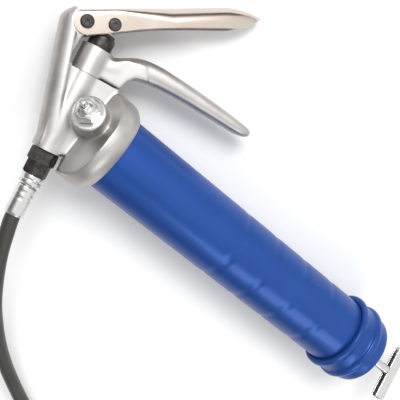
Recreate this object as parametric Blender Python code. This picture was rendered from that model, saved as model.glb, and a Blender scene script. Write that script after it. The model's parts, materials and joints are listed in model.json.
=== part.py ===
"""Lever grease gun lying on its side: cast head, fixed grip, lever pump, tube, follower, hose and coupler.

All dimensions below are millimetres and are turned into metres by MM. The gun frame has +X along the
barrel towards the tail, +Y towards the grips and +Z out of the side that carries the bleeder valve; its
origin is on the barrel axis at the rear face of the head. ROOT lays that frame down on the table.
"""
import math

import bmesh
import bpy
from mathutils import Matrix, Vector

MM = 0.001
FACETS = 0.62                              # thins the turned shapes: 1 is finest
GAP = 0.3                                  # clearance between neighbouring pieces

# how the gun lies: turned about the barrel, nose up a little, then moved over the origin
ROLL_DEG, PITCH_DEG = 12.1, 0.55
ROOT_AT = (-111.5, -32.7, 36.1)

BARREL_R, BARREL_WALL = 28.5, 1.2
BARREL_X0, BARREL_X1 = -11.0, 262.0
COLLAR_R = 36.0
SCOOP_R, SCOOP_AT = 30.0, (-45.9, 33.6)     # hollows in front of the collar: radius, x and height
CAP_BEAD_R, CAP_END_X = 33.3, 270.0

PUMP_AT, PUMP_TILT = (-54.1, 50.2), 11.3   # centre of the pump boss top; lean of the pump axis
BOSS_R, BOSS_BORE = 11.5, 9.2
SEAT_W, TUBE_END_W = -19.4, -79.0          # along the pump axis, from the boss top
PLUNGER_R = 4.0
STRUT_FOOT, STRUT_TILT = (-48.1, -28.5), 26.7

FULCRUM_AT, LEVER_ANGLE = (-72.0, 58.4), 42.35
LINK_PIN_U, LINK_PIN_N = 18.7, 2.75        # link pin in the lever's own frame
LEVER_SHEET = 1.6
PIN_R = 3.0
TOE_W = 7.5                                # centre of the link's round toe on the pump axis

BLEED_AT, BLEED_DIR = (-35.0, 9.6, 23.5), (-0.514, 0.145, 0.845)
ROD_R, ROD_END_X = 4.0, 306.0
T_HALF, T_TURN = 24.0, -14.0
FOLLOWER_X = -3.0
HOSE_R = 5.5
COUPLER_R = 7.6
# the hose's middle line in the row frame: straight in the ferrule, over and down to the table, a wide turn
HOSE_ROUTE = [
    (-144.2, -87.6, 48.2), (-141.9, -98.7, 50.5), (-139.7, -109.8, 52.9), (-134.9, -123.0, 55.6),
    (-129.3, -136.3, 57.4), (-121.5, -151.0, 57.2), (-110.7, -168.7, 53.5), (-99.5, -184.0, 47.6),
    (-84.2, -202.0, 39.6), (-67.1, -218.9, 31.2), (-49.0, -234.0, 23.0), (-30.0, -248.0, 15.8),
    (-8.0, -261.5, 9.8), (16.0, -274.0, 6.6), (31.4, -286.4, 5.7), (41.1, -303.7, 5.6), (43.5, -323.4, 5.6),
    (38.3, -342.6, 5.6), (26.4, -358.4, 5.6), (10.0, -368.6, 5.6), (-10.0, -372.0, 6.2),
    (-28.0, -372.0, 7.8), (-48.0, -372.0, 7.8), (-60.0, -372.0, 7.8)]
HOSE_STEP = 13.0

MATERIALS = {
    "cast": ((0.62, 0.60, 0.57, 1), 0.9, 0.42), "blue": ((0.03, 0.10, 0.42, 1), 0.3, 0.3),
    "nickel": ((0.80, 0.74, 0.66, 1), 1.0, 0.22), "steel": ((0.62, 0.62, 0.62, 1), 1.0, 0.3),
    "black": ((0.03, 0.03, 0.03, 1), 0.4, 0.45), "rubber": ((0.02, 0.02, 0.02, 1), 0.0, 0.6),
    "zinc": ((0.75, 0.75, 0.74, 1), 1.0, 0.28), "brass": ((0.66, 0.48, 0.20, 1), 1.0, 0.3),
}


def clear_scene():
    for obj in list(bpy.data.objects):
        bpy.data.objects.remove(obj, do_unlink=True)


def material(kind):
    name = "mat_" + kind
    if name in bpy.data.materials:
        return bpy.data.materials[name]
    colour, metallic, rough = MATERIALS[kind]
    mat = bpy.data.materials.new(name)
    mat.use_nodes = True
    shader = mat.node_tree.nodes["Principled BSDF"]
    shader.inputs["Base Color"].default_value = colour
    shader.inputs["Metallic"].default_value = metallic
    shader.inputs["Roughness"].default_value = rough
    return mat


def empty(name, parent, at=(0, 0, 0), turn=(0, 0, 0)):
    """A frame: position in millimetres, turn in degrees about X, then Y, then Z."""
    obj = bpy.data.objects.new(name, None)
    bpy.context.scene.collection.objects.link(obj)
    obj.location = [v * MM for v in at]
    obj.rotation_euler = [math.radians(v) for v in turn]
    obj.parent = parent
    return obj


def aimed(name, parent, at, direction):
    """A frame whose own Z points along the direction."""
    turn = Vector(direction).to_track_quat("Z", "Y").to_euler()
    return empty(name, parent, at, [math.degrees(v) for v in turn])


def finish(name, bm, frame, kind, smooth=35, cutter=False):
    bmesh.ops.remove_doubles(bm, verts=bm.verts, dist=2e-7)
    bmesh.ops.recalc_face_normals(bm, faces=bm.faces)
    if bm.calc_volume(signed=True) < 0:
        bmesh.ops.reverse_faces(bm, faces=bm.faces)
    mesh = bpy.data.meshes.new(name)
    bm.to_mesh(mesh)
    bm.free()
    obj = bpy.data.objects.new(name, mesh)
    bpy.context.scene.collection.objects.link(obj)
    obj.parent = frame
    if cutter:
        obj.hide_render = True
        obj.display_type = "WIRE"
    else:
        mesh.materials.append(material(kind))
    for face in mesh.polygons:
        face.use_smooth = True
    mesh.set_sharp_from_angle(angle=math.radians(smooth))
    return obj


def turned(name, loop, frame, kind="steel", n=48, cutter=False):
    """A solid of revolution about the frame's Z from a closed loop of (radius, height)."""
    n = max(12, 2 * round(n * FACETS / 2))
    bm = bmesh.new()
    verts = [bm.verts.new((r * MM, 0, z * MM)) for r, z in loop]
    edges = []
    for i, vert in enumerate(verts):
        other = verts[(i + 1) % len(verts)]
        if vert.co.x > 1e-9 or other.co.x > 1e-9:
            edges.append(bm.edges.new((vert, other)))
    bmesh.ops.spin(bm, geom=verts + edges, cent=(0, 0, 0), axis=(0, 0, 1),
                   angle=2 * math.pi, steps=n, use_merge=True)
    bmesh.ops.remove_doubles(bm, verts=bm.verts, dist=1e-7)
    bmesh.ops.dissolve_degenerate(bm, dist=1e-8, edges=bm.edges)
    if cutter:      # so that no facet lines up with one of the body's
        bmesh.ops.rotate(bm, verts=bm.verts, cent=(0, 0, 0), matrix=Matrix.Rotation(0.05 + 0.011 * len(name), 3, "Z"))
    return finish(name, bm, frame, kind, cutter=cutter)


def ring(name, inner, outer, z0, z1, frame, kind="steel", n=40, chamfer=0.0, cutter=False):
    c = chamfer
    if c:
        loop = [(inner, z0), (outer - c, z0), (outer, z0 + c), (outer, z1 - c), (outer - c, z1), (inner, z1)]
    else:
        loop = [(inner, z0), (outer, z0), (outer, z1), (inner, z1)]
    return turned(name, loop, frame, kind, n, cutter)


def prism(name, outline, z0, z1, frame, kind="steel", cutter=False, plane="XY"):
    """An outline pushed along the third axis; plane XZ means the outline is (x, z) and it runs along Y."""
    def at(p, h):
        return (p[0] * MM, p[1] * MM, h * MM) if plane == "XY" else (p[0] * MM, h * MM, p[1] * MM)
    bm = bmesh.new()
    low = [bm.verts.new(at(p, z0)) for p in outline]
    high = [bm.verts.new(at(p, z1)) for p in outline]
    bm.faces.new(low)
    bm.faces.new(high)
    for i in range(len(outline)):
        j = (i + 1) % len(outline)
        bm.faces.new((low[i], low[j], high[j], high[i]))
    return finish(name, bm, frame, kind, cutter=cutter)


def loft(name, sections, frame, kind="steel", cutter=False):
    """Joins rings of the same number of points (each a list of xyz in millimetres) into one solid."""
    bm = bmesh.new()
    rings = [[bm.verts.new([v * MM for v in p]) for p in section] for section in sections]
    for a, b in zip(rings, rings[1:]):
        for i in range(len(a)):
            j = (i + 1) % len(a)
            bm.faces.new((a[i], a[j], b[j], b[i]))
    bm.faces.new(rings[0])
    bm.faces.new(rings[-1])
    bmesh.ops.triangulate(bm, faces=bm.faces[:])
    return finish(name, bm, frame, kind, cutter=cutter)


def boolean(target, operation, tools):
    for tool in tools:
        mod = target.modifiers.new(operation.lower() + "_" + tool.name, "BOOLEAN")
        mod.operation = operation
        mod.solver = "EXACT"
        mod.object = tool
    return target


def polygon(radius, count, start=0.0):
    return [(radius * math.cos(math.radians(start + 360 * i / count)),
             radius * math.sin(math.radians(start + 360 * i / count))) for i in range(count)]


def arc(cx, cy, radius, a0, a1, steps):
    return [(cx + radius * math.cos(math.radians(a0 + (a1 - a0) * i / steps)),
             cy + radius * math.sin(math.radians(a0 + (a1 - a0) * i / steps))) for i in range(steps + 1)]


def hexagon(name, flats, z0, z1, frame, kind, turn=0.0, bore=0.0, chamfer=1.0):
    """A hexagon with turned chamfers on both faces and an optional bore."""
    body = prism(name, polygon(flats / math.sqrt(3), 6, turn), z0, z1, frame, kind)
    corner = flats / math.sqrt(3) + 0.01
    cone = turned(name + "_cone", [(0, z0 - .01), (corner - chamfer, z0 - .01), (corner, z0 + chamfer * .6),
                  (corner, z1 - chamfer * .6), (corner - chamfer, z1 + .01), (0, z1 + .01)], frame, n=36,
                  cutter=True)
    boolean(body, "INTERSECT", [cone])
    if bore:
        boolean(body, "DIFFERENCE", [ring(name + "_bore", 0, bore, z0 - 1, z1 + 1, frame, n=32, cutter=True)])
    return body


def coil(name, radius, wire, z0, z1, turns, frame, kind="steel", sides=1, per_turn=12):
    """A compression spring along the frame's Z, closed at both ends."""
    points = []
    count = int(turns * per_turn)
    for i in range(count + 1):
        t = i / count
        ease = min(1.0, max(0.0, (t * turns - 1.0) / (turns - 2.0)))
        lift = 2.3 * wire
        if t * turns < 1.0:
            z = z0 + wire + lift * t * turns
        elif t * turns > turns - 1.0:
            z = z1 - wire - lift * (turns - t * turns)
        else:
            z = z0 + wire + lift + (z1 - z0 - 2 * wire - 2 * lift) * ease
        angle = 2 * math.pi * turns * t
        points.append((radius * math.cos(angle), radius * math.sin(angle), z))
    return swept(name, points, wire, frame, kind, sides)


def swept(name, points, radius, frame, kind, resolution=3):
    """A round bar along a line of points, as a curve with a bevel and filled caps."""
    curve = bpy.data.curves.new(name, "CURVE")
    curve.dimensions = "3D"
    curve.bevel_depth = radius * MM
    curve.bevel_resolution = resolution
    curve.use_fill_caps = True
    spline = curve.splines.new("POLY")
    spline.points.add(len(points) - 1)
    for point, co in zip(spline.points, points):
        point.co = [c * MM for c in co] + [1.0]
    curve.materials.append(material(kind))
    obj = bpy.data.objects.new(name, curve)
    bpy.context.scene.collection.objects.link(obj)
    obj.parent = frame
    return obj


def smooth_line(route, spacing):
    """Points every `spacing` along a Catmull-Rom curve through the route."""
    pts = [Vector(p) for p in route]
    pts = [2 * pts[0] - pts[1]] + pts + [2 * pts[-1] - pts[-2]]
    fine = []
    for p0, p1, p2, p3 in zip(pts, pts[1:], pts[2:], pts[3:]):
        for i in range(40):
            t = i / 40
            fine.append(0.5 * (2 * p1 + (p2 - p0) * t + (2 * p0 - 5 * p1 + 4 * p2 - p3) * t * t
                               + (3 * p1 - p0 - 3 * p2 + p3) * t ** 3))
    fine.append(pts[-2])
    total = sum((b - a).length for a, b in zip(fine, fine[1:]))
    count = max(2, round(total / spacing))
    out, run, want = [fine[0]], 0.0, total / count
    for a, b in zip(fine, fine[1:]):
        step = (b - a).length
        while run + step >= want * len(out) and len(out) < count:
            out.append(a.lerp(b, (want * len(out) - run) / step))
        run += step
    out.append(fine[-1])
    return out, total


# ---------------------------------------------------------------- frames
clear_scene()
root = empty("ROOT", None, ROOT_AT, (-ROLL_DEG, PITCH_DEG, 0))
barrel = empty("BARREL_AXIS", root, turn=(0, 90, 0))
pump = empty("PUMP_AXIS", root, (*PUMP_AT, 0), (-90, 0, PUMP_TILT))
strut = empty("STRUT", root, (*STRUT_FOOT, 0), (-90, 0, STRUT_TILT))
lever_hinge = empty("LEVER_HINGE", root, (*FULCRUM_AT, 0), (0, 0, LEVER_ANGLE))
link_hinge = empty("LINK_HINGE", lever_hinge, (LINK_PIN_U, -LINK_PIN_N, 0))
bleed = aimed("BLEED_AXIS", root, BLEED_AT, BLEED_DIR)
loader = aimed("LOADER_AXIS", root, (-34.0, 9.0, -19.0), (-0.40, 0.0, -0.9165))


# ---------------------------------------------------------------- cast head
def build_head():
    body = turned("pump_head", [
        (0, -28), (22, -27.4), (30, -26.7), (33.2, -25.6), (35, -24.2), (COLLAR_R, -22), (COLLAR_R, -11),
        (35.4, -8), (34, -5.2), (32, -2.6), (30.4, -0.8), (29.6, 0), (0, 0)], barrel, "cast", 48)
    tube = ring("head_tube", 0, BOSS_R - .2, TUBE_END_W, SEAT_W + 3, pump, n=48, cutter=True)
    depth = 12.0
    front = [(depth * (1 - math.cos(a)), 11.2 * math.sin(a))
             for a in [math.radians(-90 + 15 * i) for i in range(13)]]
    bar = loft("head_strut", [[(x * (1 - f) + 9.2 * f, y * k, z) for x, y in front] for z, f, k in
                              ((0, 0, 1), (90, 0, 1), (93.5, .42, .93), (96.6, .9, .8))], strut, cutter=True)
    lug = prism("head_lug", [(4, 60)] + [(4, 92), (9, 94.2)] + arc(17.7, 88.3, 5.9, 100, -45, 9)
                + [(16.4, 77), (12.6, 66), (11, 60)], -8.5, 8.5, strut, plane="XZ", cutter=True)
    web = prism("head_web", [(-47, -26.5), (-64, 27.6), (-62, 32), (-25.4, 40), (-24, -21), (-31, -24.2),
                             (-44, -27.0)], -9.3, 9.3, root, cutter=True)
    boss = ring("head_bleed_boss", 0, 12.2, -19, 0, bleed, n=40, chamfer=.8, cutter=True)
    port = ring("head_loader_boss", 0, 10.5, -17, 0, loader, n=40, chamfer=.8, cutter=True)
    boolean(body, "DIFFERENCE", [
        ring("cut_scoop_%d" % k, 0, SCOOP_R, -50, 50,
             empty("SCOOP_%d" % k, root, (SCOOP_AT[0], 0, k * SCOOP_AT[1]), (-90, 0, 0)), n=80, cutter=True)
        for k in (1, -1)])
    boolean(body, "UNION", [tube, web, bar, lug, boss, port])
    cuts = [
        turned("cut_recess", [(0, -13.6), (25.5, -13.6), (25.5, -11.6), (BARREL_R + GAP, -11.6),
                              (BARREL_R + GAP, 14), (0, 14)], barrel, n=48, cutter=True),
        prism("cut_seat", [(-11.9, SEAT_W), (31, SEAT_W), (31, 30), (-11.9, 30)], -20, 20, pump,
              plane="XZ", cutter=True),
        turned("cut_bore", [(0, SEAT_W + 3), (7.0, SEAT_W + 3), (7.0, -30), (PLUNGER_R + GAP, -31.5),
                            (PLUNGER_R + GAP, -66), (7.2, -67), (7.2, TUBE_END_W - 3), (0, TUBE_END_W - 3)],
               pump, cutter=True),
        ring("cut_inlet", 0, 4.6, -47, -10, barrel, n=24, cutter=True),
        ring("cut_bleed", 0, 4.3, -28, 4, bleed, n=22, cutter=True),
        ring("cut_loader", 0, 5.3, -25, 4, loader, n=26, cutter=True),
        ring("cut_lug_pin", 0, PIN_R + GAP, -14, 14, lever_hinge, n=24, cutter=True),
        prism("cut_lever_web", [(-7.0, 6.05), (30, 6.35), (30, 18), (-4.9, 18), (-5.0, 9.6)], -13, 13,
              lever_hinge, cutter=True),
        ring("cut_flange_near", 0, 10.2, 8.8, 16, lever_hinge, n=38, cutter=True),
        ring("cut_flange_far", 0, 10.2, -16, -8.8, lever_hinge, n=38, cutter=True),
    ]
    return boolean(body, "DIFFERENCE", cuts)


def build_handle():
    """Pump boss and grip in one casting; it sits on the head's seat and is clamped by the gland nut."""
    body = ring("handle_casting", 0, BOSS_R, SEAT_W + GAP, 0, pump, "cast", 48, chamfer=.5)
    # centre line x, y with half height and half width, from the boss to the rounded tip
    path = [(-50, 42, 8, 9.0), (-40, 44.5, 8.0, 9.0), (-33, 49.5, 8.0, 8.8), (-24, 56.6, 8.2, 8.6),
            (-12, 61.4, 7.8, 8.6), (2, 64.4, 7.2, 8.8), (18, 67.0, 6.7, 9.0), (34, 69.2, 6.2, 9.0),
            (50, 71.2, 5.6, 8.8), (62, 72.6, 4.9, 8.2), (69, 74.2, 3.6, 6.6), (72, 75.2, 1.8, 4.0)]
    sections = []
    for i, (x, y, h, w) in enumerate(path):
        a, b = path[max(i - 1, 0)], path[min(i + 1, len(path) - 1)]
        along = Vector((b[0] - a[0], b[1] - a[1])).normalized()
        side = Vector((-along.y, along.x))
        section = []
        for k in range(20):
            t = 2 * math.pi * k / 20
            ct, st = math.cos(t), math.sin(t)
            px = math.copysign(abs(ct) ** 0.75, ct) * w
            py = math.copysign(abs(st) ** 0.75, st) * h
            section.append((x + side.x * py, y + side.y * py, px))
        sections.append(section)
    grip = loft("handle_grip", sections, root, cutter=True)
    root_block = prism("handle_root", [(-50, 33), (-26.2, 37.0), (-25.6, 44), (-22.5, 50.5), (-14, 54.5),
                                       (-22, 62), (-34, 57), (-40.5, 50.2), (-46, 49.3)], -8.8, 8.8, root,
                       cutter=True)
    boolean(body, "UNION", [grip, root_block])
    return boolean(body, "DIFFERENCE", [
        prism("handle_foot", [(-25, SEAT_W + GAP), (60, SEAT_W + GAP), (60, -60), (-25, -60)], -30, 30, pump,
              plane="XZ", cutter=True),
        turned("handle_bore", [(0, 3), (BOSS_BORE, 3), (BOSS_BORE, SEAT_W + 2), (7.0, SEAT_W + 2),
                               (7.0, SEAT_W - 5), (0, SEAT_W - 5)], pump, cutter=True)])


# ---------------------------------------------------------------- pump internals
def build_pump():
    top = SEAT_W + 2 + GAP
    turned("gland_nut", [(PLUNGER_R + .4, top + 1.6), (8.6, top + 1.6), (8.9, top + 1.3), (8.9, top),
                         (6.7, top), (6.7, -25.0), (PLUNGER_R + .4, -25.0)], pump, "brass", 28)
    ring("packing_washer", PLUNGER_R + .3, 6.6, -26.4, -25.3, pump, "steel", 28)
    turned("plunger_packing", [(PLUNGER_R + .2, -29.4), (6.6, -29.4), (6.6, -26.7), (6.0, -26.7),
                               (5.3, -27.9), (4.7, -26.7), (PLUNGER_R + .2, -26.7)], pump, "rubber", 28)
    turned("plunger_rod", [(0, -55), (3.2, -55), (PLUNGER_R, -54.2), (PLUNGER_R, 2.5), (3.6, 2.9), (0, 2.9)],
           pump, "steel", 24)
    cap = turned("plunger_cap", [
        (0, 3.2), (PLUNGER_R + GAP, 3.2), (PLUNGER_R + GAP, 1), (7.7, 1), (7.7, -5.8), (8.9, -5.8),
        (8.9, 8.2), (8.3, 9.6), (7.4, 9.6), (7.4, 11.2), (7.0, 11.6), (0, 11.6)], pump, "black", 32)
    boolean(cap, "DIFFERENCE", [prism("cap_slot", [(-4.3, 4.5), (4.3, 4.5), (4.3, 14), (-4.3, 14)],
                                      -2.9, 2.9, pump, plane="XZ", cutter=True)])
    coil("return_spring", 6.55, 0.45, top + 1.9, 0.7, 6.5, pump)


def build_lever():
    outline = (arc(0, 0, 8.8, 114, 270, 12) + [(12, -8.1), (22, -7.2), (35, -6.3), (51, -5.7), (70, -5.8),
               (89, -6.4), (101, -7.0), (110.5, -7.0), (118, -5.0), (125, -2.4), (128.9, -.2), (120, 4.3),
               (110, 7.2), (103, 8.7), (99, 9.6), (-4.2, 9.6)])

    def section(u, inset):
        """A closed ring at one station: flat flanges near the pins, half round further out."""
        w = 11.0 if u < 60 else 11.0 - 1.4 * ((u - 60) / 40) if u < 100 else 9.6 - 5.8 * ((u - 100) / 31) ** 1.2
        r = min(2.6 + max(0.0, u - 22) * 0.19, w - .4)
        r = max(r - inset, 0.6)
        w -= inset
        top = 8.1 - inset
        pts = [(u, -14, w), (u, -14, -w)]
        pts += [(u, y, z) for z, y in reversed(arc(-w + r, top - r, r, 90, 180, 6))]
        pts += [(u, y, z) for z, y in reversed(arc(w - r, top - r, r, 0, 90, 6))]
        return pts

    stations = [-12, 0, 22, 40, 60, 80, 100, 112, 122, 131]
    body = loft("lever", [section(u, 0) for u in stations], lever_hinge, "nickel")
    side = prism("lever_side", outline, -14, 14, lever_hinge, cutter=True)
    hollow = loft("lever_hollow", [[(x, y - (1 if y < -10 else 0), z) for x, y, z in section(u, LEVER_SHEET)]
                                   for u in [-20, 0, 22, 40, 60, 80, 98, 106, 112, 116]], lever_hinge,
                  cutter=True)
    boolean(body, "INTERSECT", [side])
    boolean(body, "DIFFERENCE", [
        hollow, ring("lever_hole", 0, PIN_R + GAP, -14, 14, lever_hinge, n=24, cutter=True),
        ring("lever_hole_link", 0, PIN_R + GAP, -14, 14, link_hinge, n=24, cutter=True)])
    for label, frame, head in (("fulcrum_pin", lever_hinge, 4.9), ("link_pin", link_hinge, 4.6)):
        turned(label, [(0, -13.4), (PIN_R - .4, -13.4), (PIN_R, -13), (PIN_R, -12.5), (PIN_R - .6, -12.5),
                       (PIN_R - .6, -11.5), (PIN_R, -11.5), (PIN_R, 11.3), (head, 11.3), (head, 12.0),
                       (head - .5, 12.5), (0, 12.5)], frame, "black", 24)
        clip = ring(label.replace("pin", "clip"), PIN_R - .3, 4.7, -12.35, -11.65, frame, "steel", 24)
        mouth = prism(clip.name + "_mouth", [(0, -1.9), (8, -1.9), (8, 1.9), (0, 1.9)], -14, -10, frame,
                      cutter=True)
        boolean(clip, "DIFFERENCE", [mouth])


def build_link():
    """Eye on the link pin and a round toe that pushes in the cap's slot."""
    eye = ring("lever_link", 0, 4.9, -9.0, 9.0, link_hinge, "steel", 32)
    lean = math.radians(LEVER_ANGLE - PUMP_TILT)
    pump_to_pin = (1.5, 18.9)                      # lateral, along the pump axis
    dx, dz = -pump_to_pin[0], TOE_W - pump_to_pin[1]
    toe = (dx * math.cos(lean) + dz * math.sin(lean), -dx * math.sin(lean) + dz * math.cos(lean))
    across = Vector((-toe[1], toe[0])).normalized() * 2.5
    arm = prism("link_arm", [(across.x, across.y), (toe[0] + across.x, toe[1] + across.y),
                             (toe[0] - across.x, toe[1] - across.y), (-across.x, -across.y)], -2.5, 2.5,
                link_hinge, cutter=True)
    tip = prism("link_toe", [(toe[0] + x, toe[1] + y) for x, y in polygon(2.6, 24)], -2.5, 2.5, link_hinge,
                cutter=True)
    boolean(eye, "UNION", [arm, tip])
    boolean(eye, "DIFFERENCE", [ring("link_eye", 0, PIN_R + GAP, -12, 12, link_hinge, n=24, cutter=True)])


# ---------------------------------------------------------------- outlet and hose end
def build_outlet():
    end = TUBE_END_W
    body = hexagon("outlet_adapter", 17.5, end - 10.3, end - .4, pump, "black", turn=0, chamfer=1.2)
    lower = ring("outlet_lower", 0, 8.1, end - 19.5, end - 10, pump, n=40, chamfer=1.0, cutter=True)
    spigot = ring("outlet_spigot", 0, 6.8, end - 1, -68.0, pump, n=36, cutter=True)
    boolean(body, "UNION", [lower, spigot])
    boolean(body, "DIFFERENCE", [turned("outlet_bore", [
        (0, -66), (2.0, -66), (2.0, -70.2), (3.9, -72.1), (3.9, end - 12), (6.1, end - 12.4),
        (6.1, end - 21), (0, end - 21)], pump, cutter=True)])
    ball = turned("check_ball", [(0, -76.1)] + [(2.9 * math.cos(a), -73.2 + 2.9 * math.sin(a))
                  for a in [math.radians(-72 + 18 * i) for i in range(9)]] + [(0, -70.3)], pump, "steel", 18)
    coil("check_spring", 3.1, 0.3, -90.7, -76.5, 6, pump)
    turned("hose_nut", [(2.2, end - 12.8), (5.8, end - 12.8), (5.8, end - 19.8), (8.0, end - 19.8),
                        (8.0, end - 26.5), (6.4, end - 28.0), (2.2, end - 28.0)], pump, "zinc", 32)
    turned("hose_ferrule", [(HOSE_R + .3, end - 28.3), (6.3, end - 28.3), (7.0, end - 29.2), (7.0, end - 33),
                            (6.6, end - 33.6), (6.6, end - 35), (7.0, end - 35.6), (7.0, end - 39.4),
                            (6.6, end - 40), (6.6, end - 41.4), (7.0, end - 42), (7.0, end - 50),
                            (6.5, end - 51), (HOSE_R + .3, end - 51)], pump, "zinc", 28)
    return ball


def build_hose():
    """Whip hose on the table and the coupler on its free end."""
    line, length = smooth_line(HOSE_ROUTE, HOSE_STEP)
    swept("hose", line, HOSE_R, None, "rubber", 2)
    print("hose middle line %.1f mm in %d points" % (length, len(line)))
    tip = Vector(HOSE_ROUTE[-1])
    ahead = (tip - Vector(HOSE_ROUTE[-2])).normalized()
    far = aimed("COUPLER_AXIS", None, tip, ahead)
    turned("far_ferrule", [(HOSE_R + .3, -20), (6.5, -20), (7.0, -19), (7.0, -12), (6.6, -11.4), (6.6, -10),
                           (7.0, -9.4), (7.0, -5.6), (6.6, -5), (6.6, -3.6), (7.0, -3), (7.0, 0), (6.3, .9),
                           (HOSE_R + .3, .9)], far, "zinc", 28)
    stem = hexagon("hose_stem", 12.7, 1.2, 8.0, far, "zinc", chamfer=1.0)
    thread = ring("stem_thread", 0, 4.2, 7, 16.6, far, n=28, cutter=True)
    boolean(stem, "UNION", [thread])
    boolean(stem, "DIFFERENCE", [ring("stem_bore", 0, 1.6, 0, 18, far, n=20, cutter=True)])
    turned("coupler_body", [(4.5, 8.4), (6.6, 8.4), (COUPLER_R, 9.4), (COUPLER_R, 27.5), (6.8, 27.8),
                            (6.8, 32), (6.0, 32), (6.0, 18), (4.5, 17.6)], far, "steel", 36)
    coil("coupler_spring", 5.1, 0.45, 18.3, 22.8, 3.5, far)
    turned("coupler_seal", [(1.6, 23.1), (5.6, 23.1), (5.6, 26.2), (4.4, 26.2), (2.6, 24.9), (1.6, 24.9)], far,
           "rubber", 28)
    jaws = turned("coupler_jaws", [(4.7, 26.6), (5.6, 26.6), (5.6, 33.0), (4.6, 35.4), (3.4, 35.4),
                                   (3.4, 34.2), (4.4, 32.6)], far, "steel", 32)
    boolean(jaws, "DIFFERENCE", [prism("jaw_slot_%d" % k, [(-.5, 29), (7, 29), (7, 37), (-.5, 37)], -.5, .5,
                                       empty("JAW_%d" % k, far, turn=(0, 0, 120 * k + 17)), plane="XZ",
                                       cutter=True) for k in range(3)])
    turned("coupler_cap", [(7.1, 28.1), (COUPLER_R, 28.1), (COUPLER_R, 32), (6.2, 36.4), (5.0, 36.4),
                           (6.0, 33.6), (6.0, 32.3), (7.1, 32.3)], far, "steel", 36)


# ---------------------------------------------------------------- barrel, cap and follower
def build_barrel():
    inner = BARREL_R - BARREL_WALL
    turned("barrel_tube", [(inner, BARREL_X0), (BARREL_R, BARREL_X0), (BARREL_R, BARREL_X1),
                           (inner, BARREL_X1)], barrel, "blue", 48)
    ring("barrel_gasket", 26.0, 28.5, BARREL_X0 - .55, BARREL_X0 - .05, barrel, "rubber", 40)
    skirt = BARREL_R + GAP
    cap = turned("tail_cap", [
        (skirt, 235.6), (31.8, 235.6), (33.0, 236.4), (CAP_BEAD_R, 238.4), (33.0, 240.4), (31.2, 241.6),
        (30.9, 246), (31.2, 250.8), (33.2, 252.2), (CAP_BEAD_R + .2, 254.4), (33.0, 256.6), (31.0, 258),
        (30.0, 259.5), (29.7, 266.0), (28.6, 268.6), (26.4, CAP_END_X), (8.6, CAP_END_X), (8.6, 268.6),
        (25.5, 268.6), (27.3, 266.6), (28.1, 264.0), (28.3, 262.6), (skirt, 262.4)], barrel, "blue", 48)
    turned("rod_bush", [(ROD_R + .3, 266.0), (10.6, 266.0), (10.6, 268.2), (8.3, 268.2), (8.3, 270.3),
                        (10.6, 270.3), (10.6, 271.8), (9.6, 272.8), (ROD_R + .3, 272.8)], barrel, "steel", 28)
    return cap


def build_follower():
    x = FOLLOWER_X
    inner = BARREL_R - BARREL_WALL
    turned("follower_cup", [
        (5.3, x), (inner - 6, x), (inner - 2.2, x - 1.6), (inner - .3, x - 4.2), (inner - .3, x - 2.6),
        (inner - 1.9, x + 2.2), (inner - 2.3, x + 8.0), (inner - 4.8, x + 8.0), (inner - 5.2, x + 2.4),
        (5.3, x + 2.4)], barrel, "rubber", 40)
    ring("follower_front_plate", 5.3, 18.0, x - 1.9, x - .3, barrel, "steel", 32)
    turned("follower_rear_plate", [(5.3, x + 2.7), (20.6, x + 2.7), (20.6, x + 9.6), (19.2, x + 9.6),
                                   (19.2, x + 4.3), (5.3, x + 4.3)], barrel, "steel", 32)
    turned("follower_sleeve", [(ROD_R + .3, x - 4.4), (9.4, x - 4.4), (9.4, x - 2.2), (5.0, x - 2.2),
                               (5.0, x + 4.6), (7.0, x + 4.6), (7.0, x + 8.6), (ROD_R + .3, x + 8.6)],
           barrel, "steel", 28)
    coil("follower_spring", 21.5, 1.25, x + 10.2, 262.4, 12.5, barrel, per_turn=12)


def build_rod():
    x = FOLLOWER_X
    rod = turned("follower_rod", [
        (0, x - 6.6), (5.4, x - 6.6), (6.2, x - 6.0), (6.2, x - 4.8), (ROD_R, x - 4.8), (ROD_R, ROD_END_X - 4),
        (2.9, ROD_END_X - 4), (2.9, ROD_END_X + 3.6), (2.3, ROD_END_X + 4.2), (0, ROD_END_X + 4.2)],
        barrel, "zinc", 24)
    groove = [(ROD_R + 1, 252), (2.9, 252), (2.9, 256), (ROD_R + 1, 256)]
    boolean(rod, "DIFFERENCE", [turned("rod_groove", groove, barrel, n=32, cutter=True)])
    frame = empty("T_HANDLE", barrel, (0, 0, 0), (0, 0, T_TURN))
    x0, x1 = ROD_END_X - 3.7, ROD_END_X + 5.6
    channel = [(-3.4, x0), (-3.4, x1 - 1), (-2.4, x1), (2.4, x1), (3.4, x1 - 1), (3.4, x0), (2.0, x0),
               (2.0, x1 - 1.6), (-2.0, x1 - 1.6), (-2.0, x0)]
    bar = loft("t_handle", [[(px, y, pz) for px, pz in channel]
                            for y in (-T_HALF, T_HALF)], frame, "zinc")
    seat = ring("t_seat", 0, 3.4, x0, x1 - 1.6, frame, n=28, cutter=True)
    boolean(bar, "UNION", [seat])
    return boolean(bar, "DIFFERENCE", [
        ring("t_hole", 0, 2.9 + GAP, x0 - 1, ROD_END_X + 7, frame, n=24, cutter=True),
        ring("t_rod_mouth", 0, ROD_R + GAP, x0 - 1, ROD_END_X - 3.4, frame, n=24, cutter=True)])


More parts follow.
